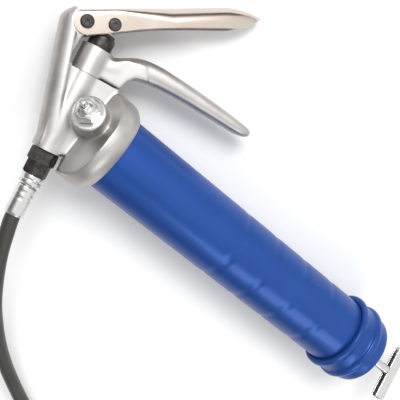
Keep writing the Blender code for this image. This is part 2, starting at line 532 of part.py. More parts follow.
# ---------------------------------------------------------------- fittings on the head
def build_fittings():
    body = hexagon("bleeder_body", 15.0, .4, 8.6, bleed, "zinc", turn=18, chamfer=1.5)
    dome = turned("bleeder_dome", [(0, 8), (6.6, 8), (6.1, 9.8), (4.2, 11), (3.4, 11.4), (3.4, 13.2),
                                   (0, 13.2)], bleed, n=36, cutter=True)
    stem = ring("bleeder_stem", 0, 4.0, -11.0, .6, bleed, n=28, cutter=True)
    boolean(body, "UNION", [dome, stem])
    boolean(body, "DIFFERENCE", [turned("bleeder_hole", [(0, -13), (1.5, -13), (1.5, 1.0), (2.45, 1.0),
                                                         (2.45, 15), (0, 15)], bleed, n=24, cutter=True)])
    button = turned("bleeder_button", [(0, 7.2), (1.9, 7.2), (2.15, 7.5), (2.15, 18.6), (1.7, 19.4), (0, 19.4)],
                    bleed, "steel", 24)
    hole = ring("bleeder_cross", 0, .8, -6, 6, empty("BLEED_CROSS", bleed, (0, 0, 16.6), (90, 0, 0)), n=16,
                cutter=True)
    boolean(button, "DIFFERENCE", [hole])
    coil("bleeder_spring", 1.75, 0.25, 1.2, 7.0, 5, bleed, per_turn=9)
    plug = hexagon("loader_fitting", 12.7, .4, 5.6, loader, "zinc", chamfer=1.0)
    nose = turned("loader_nose", [(0, 5), (4.4, 5), (4.4, 8), (3.4, 8.8), (3.4, 9.8), (4.2, 10.6),
                                  (4.2, 12), (3.1, 13), (0, 13)], loader, n=32, cutter=True)
    shank = ring("loader_shank", 0, 5.0, -10, .6, loader, n=28, cutter=True)
    boolean(plug, "UNION", [nose, shank])
    boolean(plug, "DIFFERENCE", [turned("loader_hole", [
        (0, -12), (1.3, -12), (1.3, 1.4), (2.45, 1.4), (2.45, 11.9), (1.5, 12.6), (1.5, 18), (0, 18)], loader,
        n=24, cutter=True)])
    coil("loader_spring", 1.7, 0.25, 1.6, 7.4, 5, loader, per_turn=9)
    turned("loader_ball", [(0, 7.7)] + [(2.1 * math.cos(a), 9.8 + 2.1 * math.sin(a))
           for a in [math.radians(-72 + 18 * i) for i in range(9)]] + [(0, 11.9)], loader, "steel", 14)


build_head()
build_handle()
build_pump()
build_lever()
build_link()
build_outlet()
build_hose()
build_barrel()
build_follower()
build_rod()
build_fittings()
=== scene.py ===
# %% [markdown]
# # A lever grease gun
# The gun is a hand pump for grease. A blue steel tube holds the grease, a spring and a follower push it
# forward, and a lever drives a thin plunger that sends it out through a hose. The pieces below stand
# around the engineering model of the same gun, so that every piece already has its place and its motion.

# %% Load the engineering model
import json
import math

import bmesh
import bpy
from mathutils import Matrix, Vector

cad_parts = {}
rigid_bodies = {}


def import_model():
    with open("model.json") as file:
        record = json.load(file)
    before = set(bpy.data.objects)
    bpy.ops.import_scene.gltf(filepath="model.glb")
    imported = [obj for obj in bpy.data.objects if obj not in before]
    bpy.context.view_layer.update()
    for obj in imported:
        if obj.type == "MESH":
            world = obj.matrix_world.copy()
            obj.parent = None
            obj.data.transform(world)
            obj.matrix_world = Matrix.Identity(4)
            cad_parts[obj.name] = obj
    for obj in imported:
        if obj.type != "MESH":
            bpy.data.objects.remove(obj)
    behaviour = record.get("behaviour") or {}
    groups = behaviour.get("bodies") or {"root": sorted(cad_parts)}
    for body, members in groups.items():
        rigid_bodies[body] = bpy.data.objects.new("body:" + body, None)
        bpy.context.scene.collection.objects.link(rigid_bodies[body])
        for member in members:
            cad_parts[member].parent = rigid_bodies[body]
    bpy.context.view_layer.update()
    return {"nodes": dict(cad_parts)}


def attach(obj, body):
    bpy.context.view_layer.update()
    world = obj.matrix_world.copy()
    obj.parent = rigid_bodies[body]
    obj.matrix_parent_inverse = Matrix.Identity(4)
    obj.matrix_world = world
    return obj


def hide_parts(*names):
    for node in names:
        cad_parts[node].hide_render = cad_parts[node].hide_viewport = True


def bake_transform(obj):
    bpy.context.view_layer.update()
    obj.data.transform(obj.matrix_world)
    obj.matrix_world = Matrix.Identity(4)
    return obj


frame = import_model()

# %% [markdown]
# ## Where things are
# A gun is drawn most easily along its own axes: X along the barrel, Y towards the grips, Z out of the
# side with the bleeder valve. One matrix lays that drawing down on the table, rolled by twelve degrees so
# that the lever touches it. Each fitting then has a short matrix of its own inside the gun's. The leans
# are in degrees from the gun's own axes.

# %% The frames, in millimetres
MM = 0.001


def turn(x=0.0, y=0.0, z=0.0):
    """A rotation about X, then Y, then Z, in degrees."""
    spin = Matrix.Identity(4)
    for axis, angle in (("X", x), ("Y", y), ("Z", z)):
        spin = Matrix.Rotation(math.radians(angle), 4, axis) @ spin
    return spin


def shift(x, y, z):
    return Matrix.Translation((x, y, z))


def aim(at, direction):
    """A frame at a point, with its Z along a direction."""
    return shift(*at) @ Vector(direction).to_track_quat("Z", "Y").to_matrix().to_4x4()


PUMP_LEAN, LEVER_LEAN = 11.3, 42.35
LINK_PIN = (18.7, -2.75, 0)
METRES = Matrix.Scale(MM, 4)
GUN = METRES @ shift(-111.5, -32.7, 36.1) @ turn(x=-12.1, y=0.55)
BARREL = GUN @ turn(y=90)
PUMP = GUN @ shift(-54.1, 50.2, 0) @ turn(x=-90, z=PUMP_LEAN)
STRUT = GUN @ shift(-48.1, -28.5, 0) @ turn(x=-90, z=26.7)
LEVER = GUN @ shift(-72.0, 58.4, 0) @ turn(z=LEVER_LEAN)
LINK = LEVER @ shift(*LINK_PIN)
BLEED = GUN @ aim((-35.0, 9.6, 23.5), (-0.514, 0.145, 0.845))
LOADER = GUN @ aim((-34.0, 9.0, -19.0), (-0.40, 0.0, -0.9165))
T_BAR = BARREL @ turn(z=-14.0)
COUPLER = METRES @ aim((-60.0, -372.0, 7.8), (-1, 0, 0))
print("gun at", [round(v, 4) for v in GUN.translation])

# %% [markdown]
# ## Camera
# The gun is seen from above its tail end, with a fairly long lens, so that the barrel runs down to the
# right. The camera is set by its three axes, which is simpler than three angles.

# %% Camera
def make_camera(at, right, up, lens):
    data = bpy.data.cameras.new("camera")
    data.lens, data.sensor_width = lens, 36.0
    camera = bpy.data.objects.new("camera", data)
    bpy.context.scene.collection.objects.link(camera)
    right, up = Vector(right).normalized(), Vector(up).normalized()
    axes = Matrix((right, up, right.cross(up))).transposed()
    camera.matrix_world = Matrix.Translation(Vector(at) * MM) @ axes.to_4x4()
    bpy.context.scene.camera = camera
    return camera


camera = make_camera((-205.442, 58.866, 527.031), (0.736172, 0.661275, 0.144103),
                     (-0.597661, 0.735098, -0.320051), 63.0)
print("camera at", [round(v, 3) for v in camera.location])

# %% [markdown]
# ## Shader maths as plain expressions
# A node tree is tedious to wire by hand. `Value` wraps one output socket, and adding or multiplying two
# values adds the Math node that does it. `Finish` holds one material and its Principled shader.

# %% Value and Finish
class Value:
    """One output of a node, usable in ordinary arithmetic."""

    def __init__(self, nodes, socket):
        self.nodes, self.socket = nodes, socket

    def __add__(self, other):
        return self.nodes.maths("ADD", self, other)

    def __sub__(self, other):
        return self.nodes.maths("SUBTRACT", self, other)

    def __rsub__(self, other):
        return self.nodes.maths("SUBTRACT", other, self)

    def __mul__(self, other):
        return self.nodes.maths("MULTIPLY", self, other)

    def __truediv__(self, other):
        return self.nodes.maths("DIVIDE", self, other)

    def __pow__(self, other):
        return self.nodes.maths("POWER", self, other)

    __radd__, __rmul__ = __add__, __mul__

    def between(self, low, high):
        """0 below low, 1 above high, and smooth in between."""
        return self.nodes.node("ShaderNodeMapRange", {"interpolation_type": "SMOOTHSTEP"},
                               {"Value": self, "From Min": low, "From Max": high})

    def wave(self, period):
        return self.nodes.maths("SINE", self * (2 * math.pi / period))


class Nodes:
    """A node tree with one way to add a node."""

    def __init__(self, tree):
        self.tree = tree

    def node(self, kind, settings=None, inputs=None, output=0):
        made = self.tree.nodes.new(kind)
        for key, value in (settings or {}).items():
            if key == "stops":
                for element, (at, colour) in zip(made.color_ramp.elements, value):
                    element.position, element.color = at, colour
            else:
                setattr(made, key, value)
        for key, value in (inputs or {}).items():
            if isinstance(value, Value):
                self.tree.links.new(value.socket, made.inputs[key])
            else:
                made.inputs[key].default_value = value
        return Value(self, made.outputs[output])

    def maths(self, how, *values):
        return self.node("ShaderNodeMath", {"operation": how}, dict(enumerate(values)))

    def parts(self, vector):
        """The X, Y and Z of a vector."""
        return [self.node("ShaderNodeSeparateXYZ", inputs={0: vector}, output=i) for i in range(3)]

    def mix(self, factor, first, second):
        """A colour between two colours."""
        made = self.tree.nodes.new("ShaderNodeMix")
        made.data_type = "RGBA"
        for socket, value in ((made.inputs[0], factor), (made.inputs[6], first), (made.inputs[7], second)):
            if isinstance(value, Value):
                self.tree.links.new(value.socket, socket)
            else:
                socket.default_value = value if isinstance(value, (int, float)) else (*value, 1.0)
        return Value(self, made.outputs[2])


class Finish(Nodes):
    """A material, with its patterns measured in millimetres."""

    def __init__(self, name, **shader_values):
        self.material = bpy.data.materials.new(name)
        self.material.use_nodes = True
        super().__init__(self.material.node_tree)
        self.shader = self.tree.nodes["Principled BSDF"]
        for key, value in shader_values.items():
            self.put(key.replace("_", " "), value)

    def put(self, key, value):
        socket = self.shader.inputs[key]
        if isinstance(value, Value):
            self.tree.links.new(value.socket, socket)
        else:
            socket.default_value = (*value, 1.0) if isinstance(value, tuple) else value

    def here(self):
        """Position on the whole gun, in millimetres."""
        place = self.node("ShaderNodeTexCoord", output=3)
        return self.node("ShaderNodeVectorMath", {"operation": "SCALE"}, {0: place, "Scale": 1000.0})

    def local(self, stretch=(1.0, 1.0, 1.0)):
        """Position in the piece's own frame, in millimetres, stretched for drawn or brushed marks."""
        place = self.node("ShaderNodeAttribute", {"attribute_name": "local"}, output=1)
        return self.node("ShaderNodeVectorMath", {"operation": "MULTIPLY"}, {0: place, 1: stretch})

    def tint(self, factor, first, second):
        self.put("Base Color", self.mix(factor, first, second))

    def noise(self, at, per_mm, detail=2.0, rough=0.5):
        return self.node("ShaderNodeTexNoise", inputs={"Vector": at, "Scale": per_mm, "Detail": detail,
                                                       "Roughness": rough})

    def relief(self, height, depth, strength=1.0):
        """A bump of so many millimetres."""
        self.put("Normal", self.node("ShaderNodeBump", inputs={"Height": height, "Strength": strength,
                                                               "Distance": depth * MM}))
        return self


print("shader helpers ready")

# %% [markdown]
# ## Finishes
# Most of the gun is metal, and metals differ less in colour than in how they scatter light. Sand-tumbled
# aluminium is grainy and dull, nickel plate is almost a mirror, black oxide drinks light, and paint adds a
# clear layer over its colour. Each finish below is varied a little over the surface, because a perfectly
# even roughness is what makes a computer picture look like plastic.

# %% Cast and machined aluminium
def cast_aluminium():
    f = Finish("cast_aluminium", Metallic=1.0)
    at = f.here()
    cloud, grain = f.noise(at, 0.07, 3.0), f.noise(at, 1.5, 3.0, 0.6)
    f.tint(cloud.between(0.3, 0.7), (0.48, 0.46, 0.445), (0.56, 0.54, 0.525))
    f.put("Roughness", 0.40 + cloud * 0.10 + grain * 0.08)
    f.relief(f.noise(at, 0.28, 2.0) * 0.5 + grain * 0.5, 0.05, 0.55)
    return f.material


def machined_aluminium():
    f = Finish("machined_aluminium", Metallic=1.0)
    at = f.here()
    f.tint(f.noise(at, 0.3), (0.60, 0.585, 0.57), (0.70, 0.69, 0.675))
    f.put("Roughness", 0.28 + f.noise(at, 0.6) * 0.08)
    f.relief(f.noise(at, 0.4, 1.0), 0.004, 0.4)
    return f.material


# %% Blue paint, nickel plate and black oxide
def blue_paint():
    f = Finish("blue_paint", Metallic=0.30, Specular_IOR_Level=0.2, Coat_Weight=0.08, Coat_Roughness=0.08)
    at = f.here()
    cloud = f.noise(at, 0.03, 2.0)
    f.tint(cloud, (0.013, 0.058, 0.255), (0.016, 0.069, 0.30))
    f.put("Roughness", 0.30 + f.noise(at, 0.9, 3.0) * 0.10)
    f.relief(f.noise(at, 0.22, 2.0) + f.noise(at, 1.1, 1.0) * 0.15, 0.03, 0.4)
    return f.material


def nickel_plate():
    f = Finish("nickel_plate", Metallic=1.0)
    drawn = f.noise(f.local((0.03, 1.0, 1.0)), 1.6, 3.0, 0.6)
    cloud = f.noise(f.here(), 0.05, 3.0)
    f.tint(cloud, (0.60, 0.52, 0.45), (0.70, 0.62, 0.55))
    f.put("Roughness", 0.13 + cloud * 0.08 + drawn * 0.06)
    f.relief(drawn + f.noise(f.here(), 0.12, 1.0) * 2.0, 0.02, 0.5)
    return f.material


def black_oxide():
    f = Finish("black_oxide", Metallic=0.55)
    at = f.here()
    patch, grain = f.noise(at, 0.25, 3.0), f.noise(at, 2.0, 3.0)
    f.tint(patch.between(0.35, 0.7), (0.022, 0.020, 0.019), (0.062, 0.057, 0.054))
    f.put("Roughness", 0.30 + grain * 0.22)
    f.relief(grain, 0.03, 0.6)
    return f.material


# %% Zinc plate, steels, brass and rubber
def zinc_plate():
    f = Finish("zinc_plate", Metallic=1.0)
    at = f.here()
    cloud = f.noise(at, 0.2, 3.0)
    f.tint(cloud, (0.62, 0.635, 0.64), (0.76, 0.75, 0.72))
    f.put("Roughness", 0.20 + cloud * 0.14)
    f.relief(f.noise(at, 0.4, 1.0), 0.006, 0.5)
    return f.material


def turned_steel():
    """Fine lathe marks that follow the piece's own Z."""
    f = Finish("turned_steel", Metallic=1.0)
    rings = f.noise(f.local((0.02, 0.02, 1.0)), 2.5, 2.0)
    f.tint(f.noise(f.here(), 0.15), (0.56, 0.55, 0.54), (0.68, 0.66, 0.64))
    f.put("Roughness", 0.20 + rings * 0.16)
    f.relief(rings, 0.02, 0.6)
    return f.material


def plain_steel(name, shade, rough):
    f = Finish(name, Metallic=1.0)
    at = f.here()
    f.tint(f.noise(at, 0.3), (shade * 0.9,) * 3, (shade, shade, shade * 0.97))
    f.put("Roughness", rough + f.noise(at, 1.0) * 0.12)
    f.relief(f.noise(at, 1.6, 2.0), 0.015, 0.5)
    return f.material


def turned_brass():
    f = Finish("turned_brass", Metallic=1.0)
    at = f.here()
    f.tint(f.noise(at, 0.2), (0.66, 0.48, 0.20), (0.74, 0.56, 0.27))
    f.put("Roughness", 0.22 + f.noise(at, 1.2) * 0.12)
    f.relief(f.noise(at, 2.0), 0.01)
    return f.material


def black_rubber():
    f = Finish("black_rubber")
    at = f.here()
    dust, grain = f.noise(at, 0.08, 3.0), f.noise(at, 1.8, 3.0, 0.6)
    f.tint(dust, (0.020, 0.019, 0.018), (0.040, 0.038, 0.036))
    f.put("Roughness", 0.42 + grain * 0.16)
    f.relief(grain, 0.05, 0.5)
    return f.material


def hose_rubber():
    """A wrapped hose keeps the fine helical print of the cloth tape that it was cured in."""
    f = Finish("hose_rubber")
    across, along, _ = f.parts(f.local())
    weave = (across * 0.35 + along).wave(1.6) * 0.5 + across.wave(1.1) * 0.25
    dust = f.noise(f.here(), 0.06, 3.0)
    f.tint(dust, (0.022, 0.021, 0.020), (0.044, 0.042, 0.039))
    f.put("Roughness", 0.36 + dust * 0.12)
    f.relief(weave + f.noise(f.here(), 1.2, 2.0), 0.04, 0.5)
    return f.material


CAST, MACHINED = cast_aluminium(), machined_aluminium()
BLUE, NICKEL, OXIDE = blue_paint(), nickel_plate(), black_oxide()
ZINC, TURNED, BRASS = zinc_plate(), turned_steel(), turned_brass()
STEEL, WIRE = plain_steel("bright_steel", 0.66, 0.18), plain_steel("spring_wire", 0.45, 0.22)
RUBBER, HOSE_SKIN = black_rubber(), hose_rubber()
print(len(bpy.data.materials), "finishes")

# %% [markdown]
# ## Mesh tools
# Four ways of making a solid cover nearly every piece: turning a profile on a lathe, pushing an outline
# straight through, lofting through a row of sections, and cutting or joining what the others made. Each
# shape is drawn in its own frame in millimetres, and `place` moves the finished mesh, never the object.

# %% Making a mesh from points
EASE = 0.25  # an ordinary deburred edge


def new_object(name, bm, material):
    bmesh.ops.remove_doubles(bm, verts=bm.verts, dist=1e-4)
    bmesh.ops.recalc_face_normals(bm, faces=bm.faces)
    if bm.calc_volume(signed=True) < 0:
        bmesh.ops.reverse_faces(bm, faces=bm.faces)
    mesh = bpy.data.meshes.new(name)
    bm.to_mesh(mesh)
    bm.free()
    mesh.materials.append(material)
    made = bpy.data.objects.new(name, mesh)
    bpy.context.scene.collection.objects.link(made)
    return made


def arc(cx, cy, radius, start, end, steps):
    return [(cx + radius * math.cos(math.radians(start + (end - start) * i / steps)),
             cy + radius * math.sin(math.radians(start + (end - start) * i / steps)))
            for i in range(steps + 1)]


def eased(outline, radius, steps=4, keep_axis=False):
    """The same closed outline with every corner rounded, as a deburred edge is."""
    points = [Vector(p) for p in outline]
    out = []
    for i, corner in enumerate(points):
        before, after = points[i - 1], points[(i + 1) % len(points)]
        if keep_axis and corner.x < 1e-6:
            out.append(corner)
            continue
        a, b = before - corner, after - corner
        cut = min(radius, 0.42 * a.length, 0.42 * b.length)
        if cut < 0.02 or a.angle(b) > 3.05:
            out.append(corner)
            continue
        start, end = corner + a.normalized() * cut, corner + b.normalized() * cut
        for k in range(steps + 1):
            t = k / steps
            out.append(start * (1 - t) ** 2 + corner * 2 * t * (1 - t) + end * t * t)
    return [tuple(p) for p in out]


def lathe(name, profile, material, sides=128, edge=EASE):
    """Turns a closed profile of (radius, height) about Z."""
    profile = eased(profile, edge, keep_axis=True) if edge else profile
    bm = bmesh.new()
    rings = []
    for radius, height in profile:
        if radius < 1e-6:
            rings.append([bm.verts.new((0, 0, height))])
        else:
            rings.append([bm.verts.new((radius * math.cos(2 * math.pi * k / sides),
                                        radius * math.sin(2 * math.pi * k / sides), height))
                          for k in range(sides)])
    for a, b in zip(rings, rings[1:] + rings[:1]):
        for k in range(sides):
            j = (k + 1) % sides
            if len(a) > 1 and len(b) > 1:
                bm.faces.new((a[k], a[j], b[j], b[k]))
            elif len(a) > 1:
                bm.faces.new((a[k], a[j], b[0]))
            elif len(b) > 1:
                bm.faces.new((a[0], b[j], b[k]))
    return new_object(name, bm, material)


def rod(name, radius, low, high, material, sides=64, edge=0):
    """A plain round bar on Z."""
    return lathe(name, [(0, low), (radius, low), (radius, high), (0, high)], material, sides, edge)


def loft(name, sections, material):
    """Skins a row of closed sections, each a list of (x, y, z)."""
    bm = bmesh.new()
    rings = [[bm.verts.new(p) for p in section] for section in sections]
    for a, b in zip(rings, rings[1:]):
        for k in range(len(a)):
            j = (k + 1) % len(a)
            bm.faces.new((a[k], a[j], b[j], b[k]))
    bm.faces.new(rings[0])
    bm.faces.new(rings[-1])
    return new_object(name, bm, material)


def extrude(name, outline, low, high, material, side="XY"):
    """Pushes an outline from low to high; side XZ means that the outline is (x, z)."""
    def at(p, h):
        return (p[0], p[1], h) if side == "XY" else (p[0], h, p[1])
    return loft(name, [[at(p, low) for p in outline], [at(p, high) for p in outline]], material)


print("mesh tools ready")

# %% Cutting, joining, melting and placing
def shape_of(piece):
    """The piece's mesh with its modifiers applied."""
    seen = bpy.context.evaluated_depsgraph_get()
    mesh = bpy.data.meshes.new_from_object(piece.evaluated_get(seen))
    piece.modifiers.clear()
    old, piece.data = piece.data, mesh
    bpy.data.meshes.remove(old)
    return piece


def combine(piece, operation, tools):
    """Joins or cuts with each tool in turn; a cut face takes the tool's finish."""
    for tool in tools:
        step = piece.modifiers.new(operation, "BOOLEAN")
        step.operation, step.solver, step.object = operation, "EXACT", tool
        step.material_mode = "TRANSFER"
    bpy.context.view_layer.update()
    shape_of(piece)
    for tool in tools:
        bpy.data.objects.remove(tool, do_unlink=True)
    return piece


def moved(piece, matrix):
    piece.data.transform(matrix)
    return piece


def melt(piece, voxel, passes):
    """Fuses a rough assembly into one casting with soft inside corners."""
    grid = piece.modifiers.new("grid", "REMESH")
    grid.mode, grid.voxel_size, grid.use_smooth_shade = "VOXEL", voxel, True
    soften = piece.modifiers.new("soften", "SMOOTH")
    soften.factor, soften.iterations = 0.5, passes
    bpy.context.view_layer.update()
    return shape_of(piece)


def place(piece, matrix, body, nodes, sharp=38):
    """Shades the mesh, notes its own coordinates, lays it in the gun and hangs it on its body."""
    mesh = piece.data
    for face in mesh.polygons:
        face.use_smooth = True
    mesh.set_sharp_from_angle(angle=math.radians(sharp))
    own = mesh.attributes.new("local", "FLOAT_VECTOR", "POINT")
    own.data.foreach_set("vector", [c for v in mesh.vertices for c in v.co])
    mesh.transform(matrix)
    mesh.update()
    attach(piece, body)
    if nodes:
        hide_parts(*nodes)
    print(piece.name, len(mesh.vertices), "points")
    return piece


def knob(name, profile, material, matrix, body, sides=128, edge=EASE):
    """A plain turned piece from profile to place in one line; vis_ and a node's name stands for that node."""
    return place(lathe(name, profile, material, sides, edge), matrix, body, [name[4:]])


print("assembly tools ready")

# %% [markdown]
# ## Geometry Nodes for what repeats
# Knurls, flutes and rolled grooves repeat by a rule, so a node tree makes them and a named input sets each
# size. `Recipe` builds such a tree in the script, runs it once on an object, and keeps the plain mesh.

# %% A recipe for a repeated shape
class Recipe(Nodes):
    def __init__(self, name, **sizes):
        tree = bpy.data.node_groups.new(name, "GeometryNodeTree")
        tree.interface.new_socket("Geometry", in_out="INPUT", socket_type="NodeSocketGeometry")
        self.sizes, self.ids = sizes, {}
        for label, value in sizes.items():
            kind = "NodeSocketInt" if isinstance(value, int) else "NodeSocketFloat"
            socket = tree.interface.new_socket(label, in_out="INPUT", socket_type=kind)
            self.ids[label] = socket.identifier
        tree.interface.new_socket("Geometry", in_out="OUTPUT", socket_type="NodeSocketGeometry")
        super().__init__(tree)
        self.start = tree.nodes.new("NodeGroupInput")

    def size(self, label):
        return Value(self, self.start.outputs[label])

    def given(self):
        return Value(self, self.start.outputs["Geometry"])

    def cook(self, geometry, piece, material):
        """Ends the tree with Realize Instances and Set Material and leaves its mesh on the piece."""
        real = self.node("GeometryNodeRealizeInstances", inputs={"Geometry": geometry})
        dressed = self.node("GeometryNodeSetMaterial", inputs={"Geometry": real, "Material": material})
        self.tree.links.new(dressed.socket, self.tree.nodes.new("NodeGroupOutput").inputs["Geometry"])
        step = piece.modifiers.new(self.tree.name, "NODES")
        step.node_group = self.tree
        for label, value in self.sizes.items():
            step[self.ids[label]] = value
        bpy.context.view_layer.update()
        return shape_of(piece)


def ribs_round(name, material, count, radius, height, length, width, start):
    """Small rounded ribs parallel to Z, evenly spaced on a cylinder: a straight knurl."""
    recipe = Recipe(name, Count=count, Radius=radius, Height=height, Length=length, Width=width, Start=start)
    ring = recipe.node("GeometryNodeMeshCircle", inputs={"Vertices": recipe.size("Count"),
                                                         "Radius": recipe.size("Radius")})
    bar_size = recipe.node("ShaderNodeCombineXYZ", inputs={0: recipe.size("Height") * 2,
                                                           1: recipe.size("Width"), 2: recipe.size("Length")})
    bar = recipe.node("GeometryNodeMeshCube", inputs={"Size": bar_size, "Vertices X": 3, "Vertices Y": 3,
                                                      "Vertices Z": 2})
    number = recipe.node("GeometryNodeInputIndex")
    angle = number * (2 * math.pi) / recipe.size("Count")
    facing = recipe.node("ShaderNodeCombineXYZ", inputs={2: angle})
    spread = recipe.node("GeometryNodeInstanceOnPoints", inputs={"Points": ring, "Instance": bar,
                                                                 "Rotation": facing})
    lift = recipe.node("ShaderNodeCombineXYZ", inputs={2: recipe.size("Start") + recipe.size("Length") * 0.5})
    raised = recipe.node("GeometryNodeTransform", inputs={"Geometry": spread, "Translation": lift})
    piece = bpy.data.objects.new(name, bpy.data.meshes.new(name))
    bpy.context.scene.collection.objects.link(piece)
    recipe.cook(raised, piece, material)
    piece.data.materials.clear()
    piece.data.materials.append(material)
    for face in piece.data.polygons:
        face.material_index = 0
    return piece


print("recipe helpers ready")

# %% [markdown]
# ## The whip hose
# A grease gun of this kind is sold with an 18 inch whip hose. It comes straight out of its crimped
# ferrule, arches over, comes down to the table and turns once before its coupler. The middle line is a
# Catmull-Rom curve through a few points, and a round skin follows it at 5.5 mm.

# %% Hose line
HOSE_RADIUS = 5.5
HOSE_ROUTE = [
    (-144.2, -87.6, 48.2), (-141.9, -98.7, 50.5), (-139.7, -109.8, 52.9), (-134.9, -123.0, 55.6),
    (-129.3, -136.3, 57.4), (-121.5, -151.0, 57.2), (-110.7, -168.7, 53.5), (-99.5, -184.0, 47.6),
    (-84.2, -202.0, 39.6), (-67.1, -218.9, 31.2), (-49.0, -234.0, 23.0), (-30.0, -248.0, 15.8),
    (-8.0, -261.5, 9.8), (16.0, -274.0, 6.6), (31.4, -286.4, 5.7), (41.1, -303.7, 5.6), (43.5, -323.4, 5.6),
    (38.3, -342.6, 5.6), (26.4, -358.4, 5.6), (10.0, -368.6, 5.6), (-10.0, -372.0, 6.2),
    (-28.0, -372.0, 7.8), (-48.0, -372.0, 7.8), (-60.0, -372.0, 7.8)]


def smooth_line(route, spacing):
    """Evenly spaced points on a Catmull-Rom curve through the route."""
    p = [Vector(q) for q in route]
    p = [2 * p[0] - p[1]] + p + [2 * p[-1] - p[-2]]
    fine = []
    for a, b, c, d in zip(p, p[1:], p[2:], p[3:]):
        for t in [i / 40 for i in range(40)]:
            fine.append(0.5 * (2 * b + (c - a) * t + (2 * a - 5 * b + 4 * c - d) * t * t
                               + (3 * b - a - 3 * c + d) * t ** 3))
    fine.append(p[-2])
    total = sum((b - a).length for a, b in zip(fine, fine[1:]))
    count = round(total / spacing)
    out, run = [fine[0]], 0.0
    for a, b in zip(fine, fine[1:]):
        step = (b - a).length
        while run + step >= total / count * len(out) and len(out) < count:
            out.append(a.lerp(b, (total / count * len(out) - run) / step))
        run += step
    return out + [fine[-1]], total


hose_line, hose_length = smooth_line(HOSE_ROUTE, 2.5)
print("hose %.1f mm in %d points" % (hose_length, len(hose_line)))

# %% Hose skin
def tube_along(name, line, radius, material, sides=32):
    """A round tube whose own coordinates are (round, along, 0), so that its print follows it."""
    bm = bmesh.new()
    own = bm.verts.layers.float_vector.new("local")
    side, rings, run = Vector((0, 0, 1)), [], 0.0
    for i, point in enumerate(line):
        ahead = (line[min(i + 1, len(line) - 1)] - line[max(i - 1, 0)]).normalized()
        side = (side - ahead * side.dot(ahead)).normalized()
        across = ahead.cross(side)
        run += (point - line[i - 1]).length if i else 0.0
        ring = []
        for k in range(sides):
            a = 2 * math.pi * k / sides
            ring.append(bm.verts.new(point + radius * (side * math.cos(a) + across * math.sin(a))))
            ring[-1][own] = (min(k, sides - k) * radius * 2 * math.pi / sides, run, 0)
        rings.append(ring)
    for a, b in zip(rings, rings[1:]):
        for k in range(sides):
            bm.faces.new((a[k], a[(k + 1) % sides], b[(k + 1) % sides], b[k]))
    bm.faces.new(rings[0])
    bm.faces.new(rings[-1])
    piece = new_object(name, bm, material)
    for face in piece.data.polygons:
        face.use_smooth = True
    piece.data.set_sharp_from_angle(angle=math.radians(50))
    return moved(piece, METRES)


hose = tube_along("vis_hose", hose_line, HOSE_RADIUS, HOSE_SKIN)
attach(hose, "gun")
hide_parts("hose")
print(hose.name, len(hose.data.vertices), "points")

# %% [markdown]
# ## The crimped ferrules and the coupler
# A steel sleeve is crimped over each end of the hose, which leaves shallow grooves. At the far end a hex
# stem carries the coupler, whose hardened jaws snap over a grease nipple. All are turned parts, with the
# hexagons cut by intersecting a six-sided bar with a chamfered cone.

# %% Ferrules, stem and coupler
def hexagon(name, flats, low, high, material, chamfer=1.0, twist=0.0, sides=64):
    corner = flats / math.sqrt(3)
    outline = [(corner * math.cos(math.radians(60 * i + twist)), corner * math.sin(math.radians(60 * i + twist)))
               for i in range(6)]
    bar = extrude(name, outline, low, high, material)
    top = corner + 0.02
    cone = lathe(name + "_cone", [(0, low - .01), (top - chamfer, low - .01), (top, low + chamfer * .6),
                                  (top, high - chamfer * .6), (top - chamfer, high + .01), (0, high + .01)],
                 material, sides, 0)
    return combine(bar, "INTERSECT", [cone])


def crimped_ferrule(first, last):
    """A sleeve with two rolled crimp grooves that runs down its frame's Z."""
    length = first - last
    outer = [(6.3, 0), (7.0, 0.9)]
    for k in range(2):
        at = 3.2 + 4.6 * k
        outer += [(7.0, at), (6.9, at + .7), (6.9, at + 2.3), (7.0, at + 3.0)]
    outer += [(7.05, length - 2.2), (6.9, length - .6), (6.5, length)]
    inner = [(HOSE_RADIUS + .12, length), (HOSE_RADIUS + .12, 0)]
    return [(r, first - z) for r, z in outer + inner]


knob("vis_hose_ferrule", crimped_ferrule(-107.3, -130.0), ZINC, PUMP, "gun")
far_ferrule = knob("vis_far_ferrule", crimped_ferrule(0.9, -20), ZINC, COUPLER, "gun")
stem = combine(hexagon("vis_hose_stem", 12.7, 1.2, 8.0, ZINC), "UNION",
               [rod("stem_thread", 4.2, 7, 16.6, ZINC, 48, EASE)])
place(stem, COUPLER, "gun", ["hose_stem"])
body = knob("vis_coupler_body", [(4.5, 8.4), (6.6, 8.4), (7.5, 9.4), (7.5, 13), (7.1, 13.6), (7.1, 15),
                                 (7.5, 15.6), (7.5, 27.5), (6.8, 27.8), (6.8, 32), (6.0, 32), (6.0, 18),
                                 (4.5, 17.6)], TURNED, COUPLER, "gun")
flutes = place(ribs_round("vis_coupler_knurl", TURNED, 36, 7.45, 0.14, 9.0, 0.55, 17.0), COUPLER, "gun", [])
cap = knob("vis_coupler_cap", [(7.1, 28.1), (7.6, 28.1), (7.6, 32), (6.2, 36.4), (5.0, 36.4), (6.0, 33.6),
                               (6.0, 32.3), (7.1, 32.3)], TURNED, COUPLER, "gun")
jaws = lathe("vis_coupler_jaws", [(4.7, 26.6), (5.6, 26.6), (5.6, 33.0), (4.6, 35.4), (3.4, 35.4),
                                  (3.4, 34.2), (4.4, 32.6)], STEEL, 96)
combine(jaws, "DIFFERENCE", [moved(extrude("slot", [(-.5, 29), (7, 29), (7, 37), (-.5, 37)], -.5, .5, STEEL,
                                           "XZ"), turn(z=120 * k + 17)) for k in range(3)])
place(jaws, COUPLER, "gun", ["coupler_jaws"])
hose_line[0] * MM
hose_length * MM
[p * MM for p in hose_line]
print("hose end made")

